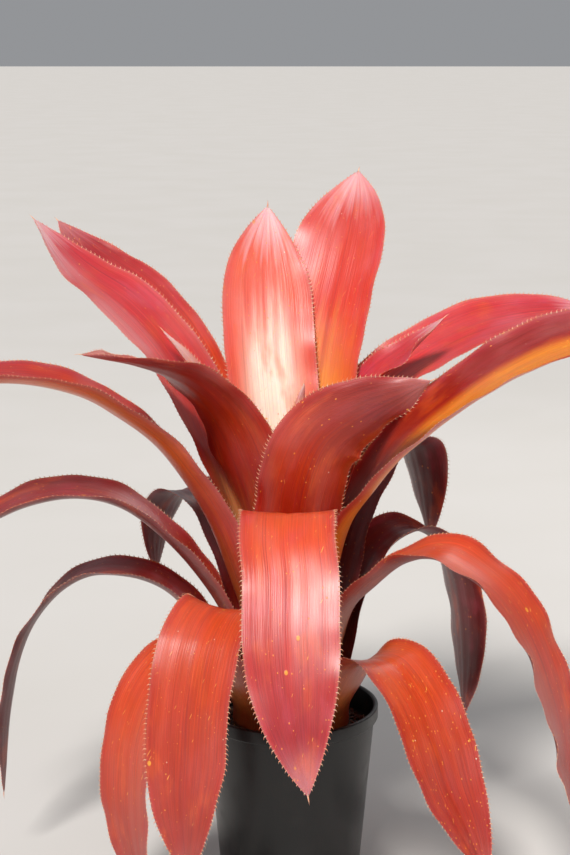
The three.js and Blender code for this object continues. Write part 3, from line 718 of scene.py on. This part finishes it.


# Colours from the base of the leaf to its tip on the upper and the lower face, the colour of the
# margins and of the pale base, how far up the pale base reaches (partly painted glow of light
# through the leaf), and how strong pinkness, bloom and flecks are.
LOOKS = {
    "heart": dict(
        upper="0 f4cc80 60 f2b468 85 e88858 100 f2d8d4",
        lower="0 f2c878 70 eea85c 90 e89070 100 f4dcd8",
        margin="dc7850", base="fbe0a8", glow=0.95, pink=0.3, bloom=0.5, flecks=0.1),
    "crown": dict(
        upper="0 f4c080 45 ec7448 72 e04c30 88 e25c44 100 eec4c8",
        lower="0 e89850 50 cc4424 85 bc3428 100 e0a8a8",
        margin="d43428", base="fff4e0", glow=0.84, pink=0.2, veins=0.5, bloom=0.35, flecks=0.3),
    "crown_orange": dict(
        upper="0 f0a850 50 ec7426 70 d8341a 88 cc382c 100 eab0b4",
        lower="0 e08c3c 50 c83e1c 85 b02c22 100 d89898",
        margin="cc3434", base="f8a040", glow=0.72, pink=0.35, veins=0.6, bloom=0.35, flecks=0.4),
    "cream": dict(
        upper="0 f4c880 50 ee8c58 80 e46848 100 f4d8d0",
        lower="0 f0b468 60 e27048 90 dc6a54 100 f2d4cc",
        margin="dc5a40", base="fce4bc", glow=0.85, pink=0.3, bloom=0.5, flecks=0.2),
    "pink": dict(
        upper="0 ec9c48 40 e2482a 70 d43034 92 c8303c 100 ecbcc4",
        lower="0 dc6c1c 40 c43014 75 b02420 100 d07c80",
        margin="dc5450", base="f4a868", glow=0.5, pink=0.9, bloom=0.4, flecks=0.3),
    # The orange stretch of the lower face, about two thirds along, is painted glow of light shining through
    # the leaf; the rest is the leaf's own red.
    "glow": dict(
        upper="0 f0a840 40 e66c24 75 d0401e 100 d07058",
        lower="0 b01408 42 ac1c06 62 c03404 85 901006 100 a83020",
        margin="a81418", base="f0a840", glow=0.5, pink=0.2, bloom=0.25, flecks=0.4),
    "amber": dict(
        upper="0 ec9838 35 d84814 65 c42c14 100 b82c34",
        lower="0 b82418 32 c02c14 50 dc6008 80 dc6c0c 100 c8441c",
        margin="a81c30", base="f0a848", glow=0.45, pink=0.3, bloom=0.3, flecks=0.5),
    # Like amber, with painted shadow over one half of the blade and a painted sunlit strip beside it.
    "amber_sunlit_and_shaded": dict(
        upper="0 ec9838 35 d84814 65 b8240e 100 b82c34",
        lower="0 b82418 32 c02c14 50 dc6008 80 dc6c0c 100 c8441c",
        margin="a81c30", base="f0a848", glow=0.45, pink=0.2, bloom=0.3, flecks=0.5, painted_light_band=0.9),
    "coral": dict(
        upper="0 e07c2c 42 e0541a 60 e04c20 74 c43028 90 a81c24 100 a83444",
        lower="0 b04410 40 981c0a 80 841414 100 8c2c2c",
        margin="b41c20", base="f0a050", glow=0.35, pink=0.5, bloom=0.35, flecks=1.0),
    "ember": dict(
        upper="0 d87428 42 d84a14 60 cc4010 80 b42c10 100 a42c1c",
        lower="0 b84814 40 a0240c 80 8c1c10 100 90302c",
        margin="ac2018", base="f0a050", glow=0.3, pink=0.15, bloom=0.2, flecks=1.0),
    "crimson": dict(
        upper="0 d0602c 30 b02c14 70 981c18 100 902830",
        lower="0 a84418 40 84180e 80 741418 100 84282c",
        margin="941820", base="e09048", glow=0.3, pink=0.4, bloom=0.3, flecks=0.6),
    # Partly these low and back leaves' own dark red, partly painted shade: darker because they sit in the
    # shade of the leaves above.
    "maroon": dict(
        upper="0 a84420 30 8e1a10 70 7c1414 100 781c1e",
        lower="0 8c3018 40 74120e 80 6c1212 100 702222",
        margin="6c141a", base="c87c40", glow=0.25, pink=0.4, bloom=0.3, flecks=0.5),
}


def leaf_material(name, look, seed):
    """Waxy strap leaf: fine lengthwise veins, a pale base partly painted as glow, painted shadow and a
    painted sunlit strip on some leaves, colour patches, bloom, flecks and scars.
    """
    s = Shade(name)
    blade = s.node("SeparateXYZ", {0: s.node("UVMap", uv_map="blade").outputs[0]})
    skin = s.node("SeparateXYZ", {0: s.node("UVMap", uv_map="skin").outputs[0]})
    across, along = blade.outputs[0], blade.outputs[1]
    side_dm, length_dm = skin.outputs[0], skin.outputs[1]
    upper = s.node("Attribute", attribute_name="upper").outputs["Fac"]
    off_middle = s.math("ABSOLUTE", s.math("SUBTRACT", s.mul(across, 2.0), 1.0))

    def skin_noise(per_side, per_length, shift, **settings):
        spot = s.place(s.mul(side_dm, per_side), s.mul(length_dm, per_length), seed + shift)
        return s.noise(spot, **settings)

    def vein_noise(per_width, per_length, shift, **settings):
        spot = s.place(s.mul(across, per_width), s.mul(length_dm, per_length), seed + shift)
        return s.noise(spot, **settings)

    patches = skin_noise(5.0, 2.2, 0, detail=3.0)
    streaks = vein_noise(13.0, 0.8, 3, detail=3.0)
    veins = vein_noise(74.0, 1.4, 7, detail=2.0, roughness=0.65)
    hairlines = vein_noise(40.0, 0.5, 9, detail=1.0)
    grain = skin_noise(140.0, 60.0, 0)
    drifts = skin_noise(3.0, 1.3, 11, detail=5.0)

    shifted = s.add(along, s.mul(s.math("SUBTRACT", streaks, 0.5), 0.2))
    base = s.mix(upper, s.ramp(shifted, look["lower"]), s.ramp(shifted, look["upper"]))

    # The pale base runs up the middle of the leaf in streaks: partly the leaf's own pale base,
    # partly painted glow of light through the leaf, stronger on the upper face where light falls.
    reach = s.add(s.mul(s.math("SUBTRACT", streaks, 0.5), 0.24), look["glow"])
    glow = s.mul(s.step(along, reach, s.math("SUBTRACT", reach, 0.22)), s.step(off_middle, 0.85, 0.15))
    glow = s.mul(glow, s.add(s.mul(upper, 0.65), 0.35))
    base = s.mix(glow, base, colour(look["base"]))

    # Painted light on some leaves: one half of the blade is darkened to dark red as painted shadow
    # cast by the leaf above it, and the strip beside it is painted yellow-orange as a sunlit patch.
    painted_light_band = s.mul(s.step(across, 0.68, 0.5), s.step(across, 0.06, 0.2))
    base = s.tint(s.step(across, 0.5, 0.75), 0.6 * look.get("painted_light_band", 0), "6c0c0c", base)
    base = s.tint(painted_light_band, look.get("painted_light_band", 0), "f4961c", base)

    # Margins are redder; patches lean to pink or to orange; veins darken the skin in fine lines.
    base = s.mix(s.mul(s.step(off_middle, 0.7, 1.0), 0.6), base, colour(look["margin"]))
    base = s.tint(s.step(patches, 0.5, 0.7), 0.5 * look["pink"], "d04a62", base)
    base = s.tint(s.step(patches, 0.46, 0.28), 0.4, "e05a14", base)
    vein_shade = s.ramp(veins, "30 9c8484 50 d0c0c0 70 ffffff")
    base = s.mix(0.42 * look.get("veins", 1), base, vein_shade, "MULTIPLY")
    base = s.tint(s.step(hairlines, 0.42, 0.26), 0.3 * look.get("veins", 1), "781428", base)

    # Waxy bloom: a pale pink film in drifts, heaviest at the margins and the tip.
    film = s.add(s.mul(s.step(drifts, 0.45, 0.75), 0.5), s.mul(s.step(off_middle, 0.88, 1.0), 0.5))
    film = s.add(film, s.mul(s.step(along, 0.9, 1.0), 1.3))
    film = s.mul(s.mul(film, s.add(grain, 0.45)), 0.6 * look["bloom"], clamp=True)
    base = s.mix(film, base, colour("ecacac"))

    # Raised corky flecks in two sizes, white specks, scratches and a few ringed scars.
    def spots(per_dm, stretch, shift, radius, chance, amount, code, under):
        spot = s.place(s.mul(side_dm, per_dm), s.mul(length_dm, per_dm * stretch), seed + shift)
        cells = s.node("TexVoronoi", {"Vector": spot, "Scale": 1.0})
        pick = s.node("SeparateColor", {0: cells.outputs["Color"]})
        size = s.mul(s.add(pick.outputs[2], 0.5), radius)
        mask = s.mul(s.step(cells.outputs["Distance"], size, s.mul(size, 0.6)),
                     s.step(pick.outputs[0], 1 - chance, 1.005 - chance))
        return mask, s.tint(mask, amount, code, under)

    small, base = spots(34.0, 0.8, 2, 0.2, 0.22 * look["flecks"], 0.7, "f0902c", base)
    large, base = spots(12.0, 0.9, 4, 0.1, 0.22 * look["flecks"], 0.85, "f2a43c", base)
    white, base = spots(17.0, 0.7, 6, 0.08, 0.09 * look["flecks"], 0.9, "fbe6d0", base)
    scar_spot = s.place(s.mul(side_dm, 5.5), s.mul(length_dm, 4.0), seed + 5)
    scars = s.node("TexVoronoi", {"Vector": scar_spot, "Scale": 1.0})
    scarred = s.step(s.node("SeparateColor", {0: scars.outputs["Color"]}).outputs[1],
                     1 - 0.16 * look["flecks"], 1.01 - 0.16 * look["flecks"])
    ring = s.mul(s.step(scars.outputs["Distance"], 0.12, 0.07), scarred)
    eye = s.mul(s.step(scars.outputs["Distance"], 0.04, 0.02), scarred)
    base = s.tint(ring, 0.85, "e8a030", base)
    base = s.mix(eye, base, colour("3c1a10"))
    slant = s.add(s.mul(side_dm, 60.0), s.mul(length_dm, 26.0))
    run = s.math("SUBTRACT", s.mul(length_dm, 7.0), s.mul(side_dm, 5.0))
    scratch = s.noise(s.place(slant, run, seed + 17), detail=1.0)
    scratch = s.mul(s.step(scratch, 0.745, 0.78), 0.8 * look["flecks"], clamp=True)
    base = s.mix(scratch, base, colour("eea042"))

    marks = s.add(s.add(small, large), s.add(white, ring))
    rough = s.add(s.mul(s.add(film, marks), 0.2), s.add(s.mul(veins, 0.14), 0.32))
    height = s.add(s.mul(veins, 0.9), s.mul(streaks, 0.8))
    height = s.add(height, s.add(s.mul(marks, 0.6), s.mul(grain, 0.1)))
    bump = s.bump(0.35, 0.0009, height)
    return s.finish(base, rough, bump, Subsurface_Weight=0.35, Subsurface_Radius=(1.0, 0.25, 0.08),
                    Subsurface_Scale=0.003, Coat_Weight=0.45, Coat_Roughness=0.36)


def spine_material():
    """Pale horny prickles, pinker in places."""
    s = Shade("prickle")
    tint = s.ramp(s.noise(s.where, 160.0), "30 d87858 50 e8a484 70 f0ccb0")
    return s.finish(tint, s.add(s.mul(s.noise(s.where, 400.0), 0.2), 0.32),
                    Subsurface_Weight=0.3, Subsurface_Scale=0.001)


def pot_material():
    """Black injection-moulded plastic: satin, with faint scuffs and a dusting of dried water."""
    s = Shade("pot_black")
    xyz = s.node("SeparateXYZ", {0: s.where})
    flow = s.place(*(s.mul(a, b) for a, b in zip(xyz.outputs, (60.0, 60.0, 6.0))))
    runs = s.noise(flow, 1.0, 4.0)
    dust = s.mul(s.step(s.noise(s.where, 35.0, 6.0), 0.48, 0.75), 0.35)
    base = s.mix(dust, s.ramp(runs, "30 060607 60 0a0a0b 80 121212"), colour("24211f"))
    grain = s.noise(s.where, 900.0, 3.0)
    rough = s.add(s.mul(runs, 0.22), s.add(s.mul(dust, 0.4), 0.22))
    bump = s.bump(0.25, 0.0004, s.add(grain, runs))
    return s.finish(base, rough, bump)


def soil_material():
    """Damp fine bark: dark crumbs with a few paler ones."""
    s = Shade("bark_fines")
    crumbs = s.node("TexVoronoi", {"Vector": s.where, "Scale": 320.0})
    shade = s.node("SeparateColor", {0: crumbs.outputs["Color"]}).outputs[0]
    base = s.ramp(shade, "0 160c08 40 2e1a10 75 4a2b1a 93 6e4528 97 b89a7c")
    base = s.mix(s.step(s.noise(s.where, 40.0), 0.4, 0.7), base, colour("1c100b"))
    height = s.add(crumbs.outputs["Distance"], s.noise(s.where, 700.0, 4.0))
    bump = s.bump(0.8, 0.0015, height)
    return s.finish(base, s.add(s.mul(shade, 0.3), 0.6), bump)


def bark_material():
    """Chips of pine bark: reddish brown layers, greyer on their weathered sides."""
    s = Shade("bark_chip")
    layers = s.noise(s.where, 260.0, 5.0, 0.7)
    patch = s.noise(s.where, 55.0, 2.0)
    base = s.ramp(layers, "25 1e0f09 45 43230f 62 6b3a1f 80 8e5c3a")
    base = s.mix(s.step(patch, 0.5, 0.7), base, colour("31221b"))
    bump = s.bump(0.9, 0.0012, layers)
    return s.finish(base, s.add(s.mul(layers, 0.3), 0.55), bump)


def perlite_material():
    """Whitish crumbs of perlite, stained by the mix."""
    s = Shade("perlite")
    pits = s.noise(s.where, 900.0, 4.0)
    base = s.ramp(pits, "30 9a8d7c 55 d8d0c2 75 efeae0")
    bump = s.bump(0.7, 0.0006, pits)
    return s.finish(base, s.add(s.mul(pits, 0.2), 0.7), bump)


def stem_material():
    """Fibrous stump, brown with paler leaf scars round it."""
    s = Shade("stem_fibre")
    xyz = s.node("SeparateXYZ", {0: s.where})
    rings = s.math("SINE", s.add(s.mul(xyz.outputs[2], 1400.0), s.mul(s.noise(s.where, 60.0), 8.0)))
    strands = s.place(*(s.mul(a, b) for a, b in zip(xyz.outputs, (500.0, 500.0, 60.0))))
    fibres = s.noise(strands, 1.0, 3.0)
    base = s.ramp(fibres, "30 4c3420 50 7a5a38 70 a08458")
    base = s.mix(s.step(rings, 0.4, 0.95), base, colour("b89c70"))
    bump = s.bump(0.7, 0.001, s.add(fibres, rings))
    return s.finish(base, 0.85, bump)


# ------------------------------------------------------------------ making the leaves

def make_leaves():
    prickle = spine_material()
    laid = []
    coarse = np.linspace(-1, 1, COARSE_CHORDS + 1)
    for layer, leaf in enumerate(LEAVES):
        rng = np.random.default_rng(100 + layer)
        rows, opens, _, _ = leaf_rows(leaf, layer, COARSE_STATIONS, coarse)
        gives = settle(rows, opens, laid)
        laid.append(surface_tree(rows + gives))
        fine, fine_opens, distances, width = leaf_rows(leaf, layer, FINE_STATIONS, CHORD_PLACES)
        fine = fine + refined(gives, FINE_STATIONS, CHORD_PLACES)
        fine[-1] = fine[-1].mean(0)
        fine = ruffle(leaf, fine, fine_opens, distances, CHORD_PLACES, rng)
        fine[-1] = fine[-1].mean(0)
        piece = leaf_object(leaf, fine, fine_opens, distances, width, rng)
        skin = leaf_material("skin_" + leaf["name"], LOOKS[leaf["look"]], 9.7 * layer)
        for material in (skin, prickle):
            piece.data.materials.append(material)
        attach(piece, "root")
        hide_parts(leaf["name"])


# ------------------------------------------------------------------ pot, bark mix and stem

POT_WALL = 1.8
POT_FLOOR = 2.6
LIP_HEIGHT = 13
LIP_OVERHANG = 2.4
DRAIN_RADIUS = 7
DRAIN_RING = 44
DRAIN_HOLES = 4
POT_SEGMENTS = 160
POT_BASE_RADIUS = 65
POT_EDGE = 1.4
FOOT_RING = (9, 7, 0.6)
FIRST_DRAIN_HEADING = 45
SOIL_GAP = 0.3
SOIL_SIDE_GAP = 0.4
SOIL_MOUND = 5
MOUND_RADIUS = 55
STEM_HOLE = (16, 33)
LUMP_SIZE = 0.7
LUMP_SINK = 0.9


def rounded(points, radius, steps=5):
    """A profile with its inner corners rounded to a radius; the two ends stay."""
    made = [points[0]]
    for before, corner, after in zip(points, points[1:], points[2:]):
        a, c, b = (np.array(p, float) for p in (before, corner, after))
        room = min(radius, np.linalg.norm(a - c) / 2.2, np.linalg.norm(b - c) / 2.2)
        start, end = c + unit(a - c) * room, c + unit(b - c) * room
        for share in np.linspace(0, 1, steps):
            made.append(tuple(lerp(lerp(start, c, share), lerp(c, end, share), share)))
    return [*made, points[-1]]


def lathe_mesh(name, profile, segments):
    """A closed solid of revolution; the profile starts and ends on the axis."""
    mesh = bmesh.new()
    first = mesh.verts.new((0, 0, profile[0][1] * MM))
    last = mesh.verts.new((0, 0, profile[-1][1] * MM))
    rings = []
    for radius, height in profile[1:-1]:
        ring = []
        for k in range(segments):
            ring.append(mesh.verts.new(polar(radius, 360 * k / segments, height) * MM))
        rings.append(ring)
    for k in range(segments):
        n = (k + 1) % segments
        mesh.faces.new((first, rings[0][n], rings[0][k]))
        mesh.faces.new((last, rings[-1][k], rings[-1][n]))
        for low, high in zip(rings, rings[1:]):
            mesh.faces.new((low[k], low[n], high[n], high[k]))
    data = bpy.data.meshes.new(name)
    mesh.to_mesh(data)
    mesh.free()
    made = add_object(name, data)
    return made


def apply_modifiers(piece):
    evaluated = piece.evaluated_get(bpy.context.evaluated_depsgraph_get())
    solid = bpy.data.meshes.new_from_object(evaluated)
    piece.modifiers.clear()
    piece.data = solid


def hand_smooth(piece, material):
    """Smooth faces and the piece's own material."""
    piece.data.polygons.foreach_set("use_smooth", [True] * len(piece.data.polygons))
    piece.data.materials.clear()
    piece.data.materials.append(material)


def make_pot():
    """The pot with its lip and drain holes; returns the radius of its wall at a height."""
    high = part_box("pot")[1]
    rim, height = high.x / MM, high.z / MM
    slope = (rim - LIP_OVERHANG - POT_BASE_RADIUS) / height

    def outer(z):
        return POT_BASE_RADIUS + slope * z

    lip = height - LIP_HEIGHT
    foot_in, foot_out, foot_height = FOOT_RING
    outline = [(0, foot_height), (POT_BASE_RADIUS - foot_in, foot_height), (POT_BASE_RADIUS - foot_out, 0),
               (POT_BASE_RADIUS, 0), (outer(lip), lip), (rim, lip + 0.8), (rim, height),
               (outer(height) - POT_WALL, height), (outer(POT_FLOOR) - POT_WALL, POT_FLOOR), (0, POT_FLOOR)]
    pot = lathe_mesh("pot_shell", rounded(outline, POT_EDGE), POT_SEGMENTS)
    drills = []
    for hole in range(DRAIN_HOLES):
        drill = lathe_mesh("drill", [(0, -5), (DRAIN_RADIUS, -5), (DRAIN_RADIUS, 9), (0, 9)], 32)
        drill.location = polar(DRAIN_RING, FIRST_DRAIN_HEADING + 360 * hole / DRAIN_HOLES, 0) * MM
        cut = pot.modifiers.new("drain", "BOOLEAN")
        cut.object = drill
        cut.operation = "DIFFERENCE"
        cut.solver = "EXACT"
        drills.append(drill)
    bpy.context.view_layer.update()
    apply_modifiers(pot)
    for drill in drills:
        bpy.data.objects.remove(drill)
    pot.data.set_sharp_from_angle(angle=math.radians(32))
    hand_smooth(pot, pot_material())
    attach(pot, "root")
    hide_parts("pot")
    return outer


class BarkBed:
    """The uneven top of the mix: level at the pot's wall, mounded further in, with small lumps."""

    def __init__(self, outer):
        self.phases = np.random.default_rng(7).uniform(0, 6, 4)
        self.edge_top = SOIL_TOP - SOIL_MOUND
        self.edge_radius = outer(self.edge_top) - POT_WALL - SOIL_SIDE_GAP

    def mound(self, radius):
        rise = (self.edge_radius - radius) / (self.edge_radius - MOUND_RADIUS)
        return self.edge_top + SOIL_MOUND * min(rise, 1)

    def lumps(self, x, y):
        a, b, c, d = self.phases
        broad = math.sin(x / 7.3 + a) * math.cos(y / 8.9 + b)
        fine = math.sin(x / 3.1 + c) * math.cos(y / 3.7 + d)
        return LUMP_SIZE * (broad + fine / 2) - LUMP_SINK


def make_soil(outer):
    """The root ball: its top is uneven, and its sides follow the pot."""
    bed = BarkBed(outer)
    hole_radius, hole_depth = STEM_HOLE
    floor = POT_FLOOR + SOIL_GAP
    profile = [(0, floor), (outer(POT_FLOOR) - POT_WALL - SOIL_SIDE_GAP, floor)]
    profile += [(radius, bed.mound(radius)) for radius in np.linspace(bed.edge_radius, hole_radius, 40)]
    profile.append((0, SOIL_TOP - hole_depth))
    soil = lathe_mesh("bark_bed", profile, 144)
    for vert in soil.data.vertices:
        x, y, z = (value / MM for value in vert.co)
        if z > bed.edge_top - 1 and math.hypot(x, y) < bed.edge_radius - 1:
            vert.co.z += bed.lumps(x, y) * MM
    hand_smooth(soil, soil_material())
    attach(soil, "root")
    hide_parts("soil")
    return bed


def chunk(rng, size, flatness):
    """One irregular closed chip: the hull of a few scattered points."""
    points = unit(rng.normal(size=(14, 3))) * rng.uniform(0.75, 1, (14, 1)) * np.array(size) / 2
    points[:, 2] *= flatness
    mesh = bmesh.new()
    for point in points:
        mesh.verts.new(point)
    hull = bmesh.ops.convex_hull(mesh, input=mesh.verts)
    loose = [v for v in hull["geom_interior"] if isinstance(v, bmesh.types.BMVert)]
    bmesh.ops.delete(mesh, geom=loose, context="VERTS")
    bmesh.ops.bevel(mesh, geom=mesh.edges[:], offset=min(size) * 0.06, segments=1, affect="EDGES")
    mesh.verts.index_update()
    verts = np.array([v.co[:] for v in mesh.verts])
    faces = [tuple(v.index for v in f.verts) for f in mesh.faces]
    mesh.free()
    return verts, faces


def turn(rng, tilt):
    """A rotation matrix: any heading, tilted by up to tilt radians about both level axes."""
    heading, roll, pitch = rng.uniform(0, 2 * math.pi), rng.uniform(-tilt, tilt), rng.uniform(-tilt, tilt)
    tilted = Matrix.Rotation(roll, 3, "X") @ Matrix.Rotation(pitch, 3, "Y")
    return np.array(Matrix.Rotation(heading, 3, "Z") @ tilted)


def scatter(name, count, sizes, flatness, material, bed, seed):
    """Chips lying on the bark bed between the leaf bases and the pot."""
    inner_radius, wall_gap, tilt, proud = 58, 0.6, 0.35, 0.25
    rng = np.random.default_rng(seed)
    verts, faces = [], []
    for _ in range(count):
        size = [rng.uniform(*span) for span in sizes]
        radius = rng.uniform(inner_radius, bed.edge_radius - max(size) / 2 - wall_gap)
        angle = rng.uniform(0, 2 * math.pi)
        x, y = radius * math.cos(angle), radius * math.sin(angle)
        top = bed.mound(radius) + bed.lumps(x, y)
        points, hull = chunk(rng, size, flatness)
        points = points @ turn(rng, tilt).T + [x, y, top + size[2] * flatness * proud]
        base = len(verts)
        verts.extend(points * MM)
        faces.extend(tuple(base + v for v in face) for face in hull)
    mesh = bpy.data.meshes.new(name)
    mesh.from_pydata([tuple(v) for v in verts], [], faces)
    mesh.update()
    mesh.materials.append(material)
    made = add_object(name, mesh)
    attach(made, "root")


# ------------------------------------------------------------------ studio, in metres

CAMERA_DISTANCE = 1.7
CAMERA_ELEVATION = math.radians(12)
CAMERA_TARGET = (-0.0047, 0, 0.433)
CAMERA_LENS = 78.81
WORLD_COLOUR = (0.86, 0.88, 0.92, 1)
WORLD_STRENGTH = 0.34
FLOOR_SIZE = 40
PLANT_MIDDLE = (0, 0, 0.35)


def look_at(thing, target):
    thing.rotation_mode = "QUATERNION"
    thing.rotation_quaternion = (Vector(target) - thing.location).to_track_quat("-Z", "Y")


def make_camera():
    data = bpy.data.cameras.new("camera")
    data.sensor_width = 36
    data.lens = CAMERA_LENS
    data.clip_end = 50
    camera = add_object("camera", data)
    direction = Vector((0, -math.cos(CAMERA_ELEVATION), math.sin(CAMERA_ELEVATION)))
    camera.location = Vector(CAMERA_TARGET) + CAMERA_DISTANCE * direction
    look_at(camera, CAMERA_TARGET)
    bpy.context.scene.camera = camera


def add_light(name, kind, location, power, tint):
    data = bpy.data.lights.new(name, kind)
    data.energy = power
    data.color = tint
    light = add_object(name, data)
    light.location = location
    look_at(light, PLANT_MIDDLE)
    return data


def add_round_light(name, location, size, power, tint):
    data = add_light(name, "AREA", location, power, tint)
    data.shape = "DISK"
    data.size = size


def make_studio():
    world = bpy.data.worlds.new("studio")
    world.use_nodes = True
    background = world.node_tree.nodes["Background"]
    background.inputs["Color"].default_value = WORLD_COLOUR
    background.inputs["Strength"].default_value = WORLD_STRENGTH
    bpy.context.scene.world = world
    mesh = bmesh.new()
    bmesh.ops.create_grid(mesh, x_segments=1, y_segments=1, size=FLOOR_SIZE)
    data = bpy.data.meshes.new("floor")
    mesh.to_mesh(data)
    mesh.free()
    s = Shade("floor_paper")
    data.materials.append(s.finish(s.ramp(s.noise(s.where, 3.0), "30 cecbc7 70 d1cecb"), 0.9))
    floor = add_object("floor", data)
    key = add_light("key", "SUN", (-0.5, -1.55, 2.1), 3.6, (1, 0.97, 0.93))
    key.angle = math.radians(14)
    add_round_light("fill", (1.6, -1.4, 1.0), 1.2, 6, (0.95, 0.97, 1))
    add_round_light("rim", (0.9, 1.8, 1.5), 1.0, 5, (1, 0.98, 0.95))
    bpy.context.scene.view_settings.view_transform = "Standard"


make_camera()
make_studio()
make_leaves()
pot_outer = make_pot()
bark_bed = make_soil(pot_outer)
scatter("bark_chips", 190, [(6, 15), (4, 9), (2.5, 4.5)], 0.8, bark_material(), bark_bed, 21)
scatter("perlite_crumbs", 60, [(1.6, 3.2), (1.6, 3.0), (1.4, 2.6)], 1.0, perlite_material(), bark_bed, 22)
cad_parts["stem"].data.materials.clear()
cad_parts["stem"].data.materials.append(stem_material())
